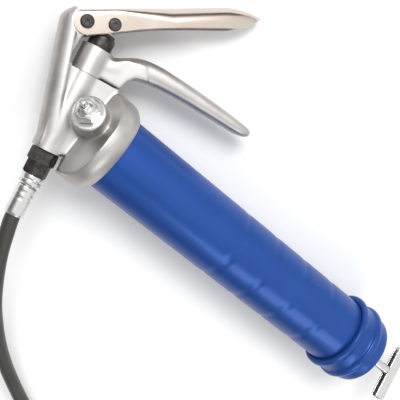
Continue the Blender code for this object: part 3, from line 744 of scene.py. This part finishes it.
# %% [markdown]
# ## The cast head
# The head is one sand-tumbled aluminium casting: a round collar that takes the barrel, a vertical pump
# tube, a half-round strut that carries the lever, and two raised bosses. A rough assembly of solids is
# fused on a fine voxel grid and softened, which gives the rounded inside corners of a casting for free.
# Only then are the machined faces cut, so that they stay crisp and take the brighter machined finish.

# %% Rough solids of the head
SCOOP_R, SCOOP_X, SCOOP_Z = 30.0, -45.9, 33.6
to_pump, to_strut, to_lever = GUN.inverted() @ PUMP, GUN.inverted() @ STRUT, GUN.inverted() @ LEVER
to_bleed, to_loader = GUN.inverted() @ BLEED, GUN.inverted() @ LOADER
wall = moved(lathe("wall", [(0, -27.6), (34.0, -26.4), (34.5, -10), (0, -10)], CAST, 128, 0), turn(y=90))


def scoops():
    """The two round hollows in front of the collar, one for each boss."""
    return [moved(rod("scoop", SCOOP_R, -50, 50, CAST, 128), shift(SCOOP_X, 0, side * SCOOP_Z) @ turn(x=-90))
            for side in (1, -1)]


combine(wall, "DIFFERENCE", scoops())
tube = moved(rod("tube", 11.4, -83, -14.4, CAST, 128, EASE), to_pump)
front = [(12.0 * (1 - math.cos(math.radians(a))), 11.3 * math.sin(math.radians(a))) for a in range(-90, 91, 5)]
strut = moved(loft("strut", [[(x * (1 - f) + 9.2 * f, y * k, z) for x, y in front]
                             for z, f, k in ((-1, 0, 1), (88, 0, 1), (91, .14, .985), (93.7, .42, .93),
                                             (95.8, .68, .86), (97.2, .9, .8))], CAST), to_strut)
lug = moved(extrude("lug", [(4, 60), (4, 92), (9, 94.2)] + arc(17.7, 88.3, 6.1, 100, -45, 24)
                    + [(16.4, 77), (12.6, 66), (11, 60)], -8.7, 8.7, CAST, "XZ"), to_strut)
web = extrude("web", [(-47, -26.5), (-64, 27.6), (-62, 32), (-25.4, 40), (-24, -21), (-31, -24.2),
                      (-44, -27.0)], -9.3, 9.3, CAST)
boss = moved(rod("boss", 12.9, -19, 1.4, CAST, 96, EASE), to_bleed)
port = moved(rod("port", 10.8, -17, 2, CAST, 96, EASE), to_loader)
head = combine(wall, "UNION", [tube, strut, lug, web, boss, port])
head.name = "vis_pump_head"
melt(head, 0.62, 14)
collar = moved(lathe("collar", [
    (22, -27.0), (33.5, -26.2), (35.2, -25.2), (36, -23.0), (36, -11), (35.5, -8), (34.1, -5.2), (32.1, -2.6),
    (30.5, -0.8), (29.6, 0), (22, 0)], CAST, 192, 0.7), turn(y=90))
combine(collar, "DIFFERENCE", scoops())
combine(head, "UNION", [collar])
melt(head, 0.6, 8)
print("head fused:", len(head.data.polygons), "faces")

# %% Machined cuts in the head
def bore(radius, low, high, matrix, sides=96):
    return moved(rod("bore", radius, low, high, MACHINED, sides), matrix)


combine(head, "DIFFERENCE", [
    moved(lathe("recess", [(0, -13.6), (25.5, -13.6), (25.5, -11.6), (28.7, -11.6), (28.7, 14), (0, 14)],
                MACHINED, 160, 0), turn(y=90)),
    moved(extrude("seat", [(-11.9, -19.4), (31, -19.4), (31, 30), (-11.9, 30)], -20, 20, MACHINED, "XZ"),
          to_pump),
    bore(7.0, -30.5, -10, to_pump), bore(4.3, -70, -25, to_pump), bore(7.2, -90, -67, to_pump),
    bore(4.3, -24, 4, to_bleed), bore(5.3, -21.3, 4, to_loader), bore(3.3, -14, 14, to_lever),
    moved(extrude("lever_room", [(-7.0, 6.05), (30, 6.35), (30, 18), (-4.9, 18), (-5.0, 9.6)], -13, 13,
                  MACHINED), to_lever),
    bore(10.2, 8.8, 16, to_lever), bore(10.2, -16, -8.8, to_lever),
    bore(10.7, -0.2, 9, to_bleed), bore(11.1, 0, 9, to_loader),
    moved(extrude("tube_end", [(-16, -94), (11.6, -94), (11.6, -79), (-16, -79)], -16, 16, MACHINED, "XZ"),
          to_pump)])
place(head, GUN, "gun", ["pump_head"], 42)

# %% [markdown]
# ## The fixed grip
# The pump boss and the grip are a second casting that sits on the head; a gland nut inside clamps it. The
# grip is lofted through flattened ovals along a curved middle line, then fused to the boss and softened.

# %% Grip casting
def blended(table, at):
    """A smooth value between the rows of a table of (position, value)."""
    for (x0, y0), (x1, y1) in zip(table, table[1:]):
        if at <= x1:
            t = min(max((at - x0) / (x1 - x0), 0.0), 1.0)
            i = table.index((x0, y0))
            m0 = (y1 - table[max(i - 1, 0)][1]) / (x1 - table[max(i - 1, 0)][0])
            m1 = (table[min(i + 2, len(table) - 1)][1] - y0) / (table[min(i + 2, len(table) - 1)][0] - x0)
            return ((2 * t ** 3 - 3 * t * t + 1) * y0 + (t ** 3 - 2 * t * t + t) * (x1 - x0) * m0
                    + (3 * t * t - 2 * t ** 3) * y1 + (t ** 3 - t * t) * (x1 - x0) * m1)
    return table[-1][1]


GRIP = [(-50, 42, 8, 9.0), (-40, 44.5, 8.0, 9.0), (-33, 49.5, 8.0, 8.8), (-24, 56.6, 8.2, 8.6),
        (-12, 61.4, 7.8, 8.6), (2, 64.4, 7.2, 8.8), (18, 67.0, 6.7, 9.0), (34, 69.2, 6.2, 9.0),
        (50, 71.2, 5.6, 8.8), (62, 72.6, 4.9, 8.2), (69, 74.2, 3.6, 6.6), (71.6, 75.2, 2.0, 4.0)]


def grip_section(x):
    y, half_y, half_z = [blended([(row[0], row[c]) for row in GRIP], x) for c in (1, 2, 3)]
    slope = blended([(r[0], r[1]) for r in GRIP], x + .5) - blended([(r[0], r[1]) for r in GRIP], x - .5)
    along = Vector((1.0, slope)).normalized()
    ring = []
    for k in range(56):
        c, s = math.cos(2 * math.pi * k / 56), math.sin(2 * math.pi * k / 56)
        out = math.copysign(abs(s) ** 0.8, s) * half_y
        ring.append((x - along.y * out, y + along.x * out, math.copysign(abs(c) ** 0.8, c) * half_z))
    return ring


stations = [-50 + 2.5 * i for i in range(48)] + [69, 70, 71, 71.6]
grip = loft("vis_handle_casting", [grip_section(x) for x in stations], CAST)
grip_boss = moved(rod("grip_boss", 11.6, -23, 3, CAST, 128), to_pump)
grip_root = extrude("grip_root", [(-50, 33), (-26.2, 37.0), (-25.6, 44), (-22.5, 50.5), (-14, 54.5), (-22, 62),
                                  (-34, 57), (-40.5, 50.2), (-46, 49.3)], -8.8, 8.8, CAST)
combine(grip, "UNION", [grip_boss, grip_root])
melt(grip, 0.55, 36)
combine(grip, "DIFFERENCE", [
    moved(extrude("foot", [(-25, -19.1), (60, -19.1), (60, -60), (-25, -60)], -30, 30, MACHINED, "XZ"), to_pump),
    moved(extrude("top_face", [(-20, 0), (11.9, 0), (11.9, 6), (-20, 6)], -20, 20, MACHINED, "XZ"),
          to_pump),
    bore(9.2, -17.4, 5, to_pump), bore(7.0, -30, -10, to_pump)])
place(grip, GUN, "gun", ["handle_casting"], 42)

# %% [markdown]
# ## The lever
# The lever is pressed from 1.6 mm steel: an open channel at the pins, where the flanges are flat, that
# closes to a half-round grip and a spoon-shaped tip. Three smooth curves along the length, for its lip,
# its crown and its half width, give every section, so that the mirror-like plating stays free of the
# ripples that a fused mesh would have. The flanges' round ends and the pin holes are cut afterwards.

# %% Lever sections
SHEET = 1.6
LIP = [(-14, -8.8), (0, -8.75), (12, -8.1), (22, -7.2), (35, -6.3), (51, -5.7), (70, -5.8), (89, -6.4),
       (101, -6.9), (110, -6.7), (118, -4.9), (125, -2.5), (128.7, -0.9)]
CROWN = [(-14, 8.1), (60, 8.1), (96, 8.1), (104, 7.9), (110, 7.0), (118, 4.9), (124, 2.7), (128.7, 0.5)]
HALF = [(-14, 11.0), (40, 11.0), (60, 10.9), (80, 10.4), (100, 9.5), (110, 8.2), (118, 6.5), (124, 4.6),
        (128.7, 1.6)]


def lever_section(u):
    low, crown, half = blended(LIP, u), blended(CROWN, u), blended(HALF, u)
    reach = max(crown - low, 0.5)
    corner = min(2.6 + max(0.0, u - 22) * 0.2, half - 0.3, reach - 0.4)
    sheet = min(SHEET, reach * 0.32, half * 0.4)

    def path(inset):
        r, w, top = max(corner - inset, 0.15), half - inset, crown - inset
        side = [(low + (top - r - low) * i / 6, w) for i in range(6)]
        bend = [(top - r + r * math.sin(math.radians(9 * i)), w - r + r * math.cos(math.radians(9 * i)))
                for i in range(11)]
        return side + bend + [(top, (w - r) * (1 - i / 3)) for i in range(1, 3)] + [(top, 0)]

    outer, inner = path(0), path(sheet)
    bead = sheet * 0.5
    ring = outer + [(y, -z) for y, z in outer[-2::-1]]
    ring += [(low - bead * .85, -half + bead)]
    ring += [(y, -z) for y, z in inner[:-1]] + inner[::-1]
    ring += [(low - bead * .85, half - bead)]
    return [(u, y, z) for y, z in ring]


lever_at = [*range(-12, 98, 2), *range(98, 125), 124.8, 125.6, 126.4, 127.2, 127.9, 128.4, 128.7]
lever = loft("vis_lever", [lever_section(u) for u in lever_at], NICKEL)
keep = extrude("keep", arc(0, 0, 8.8, 114, 256, 48) + [(3, -12), (140, -12), (140, 12), (-3.55, 12)], -14, 14,
               NICKEL)
combine(lever, "INTERSECT", [keep])
combine(lever, "DIFFERENCE", [moved(rod("hole", 3.2, -14, 14, NICKEL), m) for m in (turn(), shift(*LINK_PIN))])
place(lever, LEVER, "lever", ["lever"], 30)

# %% [markdown]
# ## Pins, clips and link
# Two black pins with knurled heads carry the lever on the strut and the link on the lever. A short link
# turns the lever's swing into the plunger's stroke: its round toe presses in a slot of the plunger cap.

# %% Pins and clips
for label, matrix, head_r in (("fulcrum", LEVER, 4.9), ("link", LINK, 4.6)):
    knob("vis_%s_pin" % label, [(0, -13.4), (2.6, -13.4), (3.0, -13), (3.0, -12.5), (2.4, -12.5), (2.4, -11.5),
                                (3.0, -11.5), (3.0, 11.3), (head_r - .2, 11.3), (head_r - .2, 12.0),
                                (head_r - .8, 12.45), (1.3, 12.6), (1.0, 12.2), (0, 12.15)],
         OXIDE, matrix, "lever", 64)
    knurl = ribs_round("vis_%s_pin_knurl" % label, OXIDE, 30, head_r - .2, 0.18, 0.75, 0.5, 11.3)
    place(knurl, matrix, "lever", [])
    clip = lathe("vis_%s_clip" % label, [(2.7, -12.35), (4.7, -12.35), (4.7, -11.65), (2.7, -11.65)], STEEL, 64,
                 0.15)
    combine(clip, "DIFFERENCE", [extrude("mouth", [(0, -1.9), (8, -1.9), (8, 1.9), (0, 1.9)], -14, -10, STEEL)])
    place(clip, matrix, "lever", ["%s_clip" % label])

# %% Link, plunger and plunger cap
lean = math.radians(LEVER_LEAN - PUMP_LEAN)
reach = (-1.5, 7.5 - 18.9)
toe = Vector((reach[0] * math.cos(lean) + reach[1] * math.sin(lean),
              -reach[0] * math.sin(lean) + reach[1] * math.cos(lean)))
across = Vector((-toe.y, toe.x)).normalized() * 2.5
link = lathe("vis_lever_link", [(3.2, -9.0), (4.9, -9.0), (4.9, 9.0), (3.2, 9.0)], STEEL, 64)
combine(link, "UNION", [
    extrude("arm", [across + toe * .37, toe + across, toe - across, toe * .37 - across], -2.5, 2.5, STEEL),
    extrude("toe", [(toe.x + x, toe.y + y) for x, y in arc(0, 0, 2.6, 0, 352.5, 47)], -2.5, 2.5, STEEL)])
place(link, LINK, "link", ["lever_link"])
knob("vis_plunger_rod", [(0, -55), (3.2, -55), (4.0, -54.2), (4.0, 2.5), (3.6, 2.9), (0, 2.9)], TURNED, PUMP,
     "plunger", 64)
cup = lathe("vis_plunger_cap", [
    (0, 3.2), (4.3, 3.2), (4.3, 1), (7.7, 1), (7.7, -5.8), (8.9, -5.8), (8.9, 8.0), (8.2, 9.4), (7.4, 9.7),
    (7.4, 11.1), (6.9, 11.6), (0, 11.6)], OXIDE, 96, 0.35)
combine(cup, "DIFFERENCE", [extrude("slot", [(-4.3, 4.5), (4.3, 4.5), (4.3, 14), (-4.3, 14)], -2.9, 2.9, OXIDE,
                                    "XZ")])
place(cup, PUMP, "plunger", ["plunger_cap"])
print("lever train made")

# %% [markdown]
# ## Outlet adapter and hose nut
# A black hex adapter closes the bottom of the pump tube and holds the outlet valve. The bright hose end
# screws into it. Both are turned from hexagon bar.

# %% Outlet
adapter = hexagon("vis_outlet_adapter", 17.5, -89.3, -79.4, OXIDE, 1.3, 0.0, 96)
lower = hexagon("lower", 15.6, -98.5, -88.6, OXIDE, 1.0, 12.0, 96)
spigot = rod("spigot", 6.8, -80, -68, OXIDE, 64, EASE)
combine(adapter, "UNION", [lower, spigot])
combine(adapter, "DIFFERENCE", [
    lathe("bore", [(0, -66), (2.0, -66), (2.0, -70.2), (3.9, -72.1), (3.9, -91), (6.1, -91.4), (6.1, -100),
                   (0, -100)], OXIDE, 64, 0)])
place(adapter, PUMP, "gun", ["outlet_adapter"], 25)
knob("vis_hose_nut", [(2.2, -91.8), (5.8, -91.8), (5.8, -98.8), (8.0, -98.8), (8.0, -101.4), (7.5, -101.9),
                      (7.5, -102.7), (8.0, -103.2), (8.0, -105.5), (6.4, -107.0), (2.2, -107.0)], ZINC, PUMP,
     "gun", 96)

# %% [markdown]
# ## The barrel
# The barrel is a rolled steel tube, painted blue. Its wall follows a rule: a plain cylinder, with shallow
# rolled grip grooves at an even pitch towards the tail. The node tree takes a smooth tube and draws the
# outer wall in by a rounded dip at each groove.

# %% Barrel tube with rolled grooves
BARREL_IN, BARREL_OUT = 27.3, 28.5


def rolled_tube():
    front, back, edge, count = -11.0, 262.0, 0.2, 240
    step = (back - front) / count
    rows = [(BARREL_IN, front), (BARREL_OUT - edge, front)]
    rows += [(BARREL_OUT, front + edge + i * step) for i in range(count)]
    rows += [(BARREL_OUT - edge, back), (BARREL_IN, back)]
    tube = lathe("vis_barrel_tube", rows, BLUE, 160, 0)
    recipe = Recipe("rolled_grooves", Pitch=31.0, First=111.0, Last=210.0, Width=11.0, Depth=0.42, Inside=28.0)
    x, y, z = recipe.parts(recipe.node("GeometryNodeInputPosition"))
    radius = (x * x + y * y) ** 0.5
    first, half_pitch = recipe.size("First"), recipe.size("Pitch") * 0.5
    from_groove = recipe.maths("ABSOLUTE", recipe.maths("WRAP", z - first, half_pitch, half_pitch * -1))
    away = from_groove / (recipe.size("Width") * 0.5)
    dip = 1 - recipe.node("ShaderNodeMapRange", {"interpolation_type": "SMOOTHERSTEP"}, {"Value": away})
    grooved = recipe.maths("GREATER_THAN", z, first - half_pitch)
    grooved = grooved * recipe.maths("LESS_THAN", z, recipe.size("Last"))
    grooved = grooved * recipe.maths("GREATER_THAN", radius, recipe.size("Inside"))
    pull = dip * grooved * recipe.size("Depth") / radius
    inward = recipe.node("ShaderNodeCombineXYZ", inputs={0: x * pull * -1, 1: y * pull * -1})
    shaped = recipe.node("GeometryNodeSetPosition", inputs={"Geometry": recipe.given(), "Offset": inward})
    return recipe.cook(shaped, tube, BLUE)


place(rolled_tube(), BARREL, "gun", ["barrel_tube"])

# %% [markdown]
# ## Tail cap, rod and T handle
# The cap is pressed sheet with two rolled beads, which stiffen its skirt. The follower rod runs out
# through a steel bush and ends in a pressed T handle.

# %% Tail
knob("vis_tail_cap", [
    (28.8, 235.6), (31.8, 235.6), (32.9, 236.4), (33.3, 238.4), (32.9, 240.4), (31.3, 241.6), (30.9, 243.5),
    (30.9, 249.0), (31.3, 250.8), (32.8, 251.9), (33.4, 254.2), (32.9, 256.6), (31.0, 258.2), (30.0, 259.5),
    (29.8, 265.6), (28.8, 268.4), (26.4, 270.0), (8.6, 270.0), (8.6, 268.6), (25.5, 268.6), (27.3, 266.6),
    (28.1, 264.0), (28.3, 262.6), (28.8, 262.4)], BLUE, BARREL, "gun", 192, 1.1)
knob("vis_rod_bush", [(4.3, 266.0), (10.6, 266.0), (10.6, 268.2), (8.3, 268.2), (8.3, 270.3), (10.6, 270.3),
                      (10.6, 271.8), (9.6, 272.8), (4.3, 272.8)], TURNED, BARREL, "gun", 96)
knob("vis_follower_rod", [
    (0, -9.6), (5.4, -9.6), (6.2, -9.0), (6.2, -7.8), (4.0, -7.8), (4.0, 252), (2.9, 252), (2.9, 256),
    (4.0, 256), (4.0, 302), (2.9, 302), (2.9, 309.6), (2.3, 310.2), (0, 310.2)], ZINC, BARREL, "rod", 64)
channel = eased([(-3.4, 302.3), (-3.4, 311.6), (3.4, 311.6), (3.4, 302.3), (2.0, 302.3), (2.0, 310.0),
                 (-2.0, 310.0), (-2.0, 302.3)], 1.0, 5)
bar = loft("vis_t_handle", [[(x, y, z) for x, z in channel] for y in (-24, 24)], ZINC)
combine(bar, "UNION", [rod("seat", 3.4, 302.3, 310, ZINC, 64, EASE)])
combine(bar, "DIFFERENCE", [rod("hole", 3.2, 301, 313, ZINC), rod("mouth", 4.3, 301, 302.6, ZINC)])
place(bar, T_BAR, "rod", ["t_handle"])

# %% [markdown]
# ## Bleeder valve and loader fitting
# The bleeder is a hex body with a domed shoulder and a small plunger with a cross hole; pressing it lets
# trapped air out. The loader on the hidden side takes the coupler of a bulk filler pump.

# %% Fittings on the head
valve = combine(hexagon("vis_bleeder_body", 15.0, .4, 8.6, ZINC, 1.6, 18.0, 96), "UNION", [
    lathe("dome", [(0, 8), (6.6, 8), (6.1, 9.8), (4.2, 11), (3.4, 11.4), (3.4, 13.2), (0, 13.2)], ZINC, 96, 0.8),
    rod("shank", 4.0, -11, .6, ZINC, 48, EASE)])
combine(valve, "DIFFERENCE", [lathe("hole", [(0, -13), (1.5, -13), (1.5, 1), (2.45, 1), (2.45, 15), (0, 15)],
                                    ZINC, 48, 0)])
place(valve, BLEED, "gun", ["bleeder_body"], 25)
button = lathe("vis_bleeder_button", [(0, 7.2), (1.9, 7.2), (2.15, 7.5), (2.15, 18.6), (1.7, 19.4), (0, 19.4)],
               ZINC, 64, 0.5)
combine(button, "DIFFERENCE", [moved(rod("cross", .8, -6, 6, OXIDE, 24), shift(0, 0, 16.6) @ turn(x=90))])
place(button, BLEED, "bleeder_button", ["bleeder_button"])
filler = combine(hexagon("vis_loader_fitting", 12.7, .4, 5.6, ZINC, 1.1, 0.0, 96), "UNION", [
    lathe("nose", [(0, 5), (4.4, 5), (4.4, 8), (3.4, 8.8), (3.4, 9.8), (4.2, 10.6), (4.2, 12), (3.1, 13),
                   (0, 13)], ZINC, 64), rod("shank", 5, -10, .6, ZINC, 48, EASE)])
combine(filler, "DIFFERENCE", [lathe("hole", [(0, -12), (1.3, -12), (1.3, 1.4), (2.45, 1.4), (2.45, 11.9),
                                              (1.5, 12.6), (1.5, 18), (0, 18)], ZINC, 48, 0)])
place(filler, LOADER, "gun", ["loader_fitting"], 25)
knob("vis_loader_ball", [(0, 7.7)] + [(x, 9.8 + z) for x, z in arc(0, 0, 2.1, -80, 80, 16)] + [(0, 11.9)],
     STEEL, LOADER, "loader_ball", 32, 0)

# %% [markdown]
# ## Springs
# Each working spring stands on the gun at one end and on a moving piece at the other; here each one is wound
# as a single fixed coil. A coil is a line run round a cylinder, with a dead turn at each end, and the same
# round skin as the hose follows it.

# %% Working springs
def spring(name, radius, wire, low, high, turns, matrix, moving_end, steps=20):
    """A compression spring from low to high on its frame's Z, wound as one fixed coil."""
    to_gun = METRES.inverted() @ matrix
    line = []
    for i in range(int(turns * steps) + 1):
        turned = i / steps
        rise = min(max((turned - 1) / (turns - 2), 0.0), 1.0)
        dead = min(turned, 1.0) + max(turned - turns + 1, 0.0)
        z = low + wire + 2.3 * wire * dead + (high - low - 6.6 * wire) * rise
        angle = 2 * math.pi * turned
        line.append(to_gun @ Vector((radius * math.cos(angle), radius * math.sin(angle), z)))
    coil = tube_along("vis_" + name, line, wire, WIRE, 12)
    fixed_end = low + high - moving_end
    matrix @ Vector((0, 0, fixed_end))
    matrix @ Vector((0, 0, moving_end))
    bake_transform(coil)
    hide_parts(name)
    return coil


spring("return_spring", 6.55, 0.45, -15.2, 0.7, 6.5, PUMP, 0.7)
spring("check_spring", 3.1, 0.3, -90.7, -76.5, 6, PUMP, -76.5)
spring("bleeder_spring", 1.75, 0.25, 1.2, 7.0, 5, BLEED, 7.0)
spring("loader_spring", 1.7, 0.25, 1.6, 7.4, 5, LOADER, 7.4)
spring("follower_spring", 21.5, 1.25, 7.2, 262.4, 12.5, BARREL, 7.2, 48)
print("five springs wound")

# %% [markdown]
# ## Inner pieces
# Washers, seals and the follower sit inside, where the engineering shapes are already right. They only
# need their finishes.

# %% Finishes for the carried-over pieces
INNER = {
    WIRE: ["coupler_spring"],
    STEEL: ["packing_washer", "check_ball", "follower_front_plate", "follower_rear_plate", "follower_sleeve"],
    RUBBER: ["plunger_packing", "barrel_gasket", "follower_cup", "coupler_seal"],
    BRASS: ["gland_nut"],
}
for finish, names in INNER.items():
    for name in names:
        node = frame["nodes"][name]
        node.data.materials.clear()
        node.data.materials.append(finish)
print(sum(len(names) for names in INNER.values()), "inner pieces finished")

# %% [markdown]
# ## Floor and light
# The gun lies on a plain pale floor under soft light. Bright metal only shows what is around it, so the
# sky is not even: angles across it, in degrees from straight up, run from a low softbox on one side over a
# dim gap to a large one overhead, and a dark card stands beside the lever. The gap draws the long dark
# reflection down the barrel, and the card the one along the top of the lever.

# %% Stage
floor_mesh = bpy.data.meshes.new("floor")
floor_mesh.from_pydata([(-4, -4, -.0003), (4, -4, -.0003), (4, 4, -.0003), (-4, 4, -.0003)], [], [(0, 1, 2, 3)])
floor = bpy.data.objects.new("floor", floor_mesh)
bpy.context.scene.collection.objects.link(floor)
floor_mesh.materials.append(Finish("floor", Base_Color=(0.86, 0.86, 0.86), Roughness=0.7).material)


def softbox(name, at, width, height, power):
    """An area light that faces the gun."""
    data = bpy.data.lights.new(name, "AREA")
    data.shape, data.size, data.size_y, data.energy = "RECTANGLE", width, height, power
    light = bpy.data.objects.new(name, data)
    bpy.context.scene.collection.objects.link(light)
    light.location = at
    light.rotation_euler = (-Vector(at)).to_track_quat("-Z", "Y").to_euler()


softbox("key", (-0.7, 0.9, 1.5), 1.0, 0.7, 26)
softbox("fill", (0.9, -0.8, 1.2), 0.9, 0.6, 8)

world = bpy.data.worlds.new("studio")
bpy.context.scene.world = world
world.use_nodes = True
sky = Nodes(world.node_tree)
east, north, up = sky.parts(sky.node("ShaderNodeTexCoord", output=0))
across = sky.maths("ARCTAN2", north, up) * (180 / math.pi)
overhead = across.between(-12, -3) * (1 - across.between(48, 80) * 0.35)
low_side = across.between(-68, -60) * (1 - across.between(-42, -32)) * 0.5
card = across.between(60, 68) * (1 - across.between(100, 112)) * (1 - east.between(-0.05, 0.15))
level = (0.12 + 0.88 * (overhead + low_side)) * (1 - card * 0.9) * (0.35 + 0.65 * east.between(-0.95, -0.45))
shade = sky.mix(level, (0.05, 0.05, 0.055), (1.0, 1.0, 1.0))
background = world.node_tree.nodes["Background"]
world.node_tree.links.new(shade.socket, background.inputs["Color"])
background.inputs["Strength"].default_value = 1.05
bpy.context.scene.view_settings.view_transform = "Standard"
print("stage ready")

# %% [markdown]
# ## Last update
# The view layer is brought up to date.

# %% Finish
bpy.context.view_layer.update()
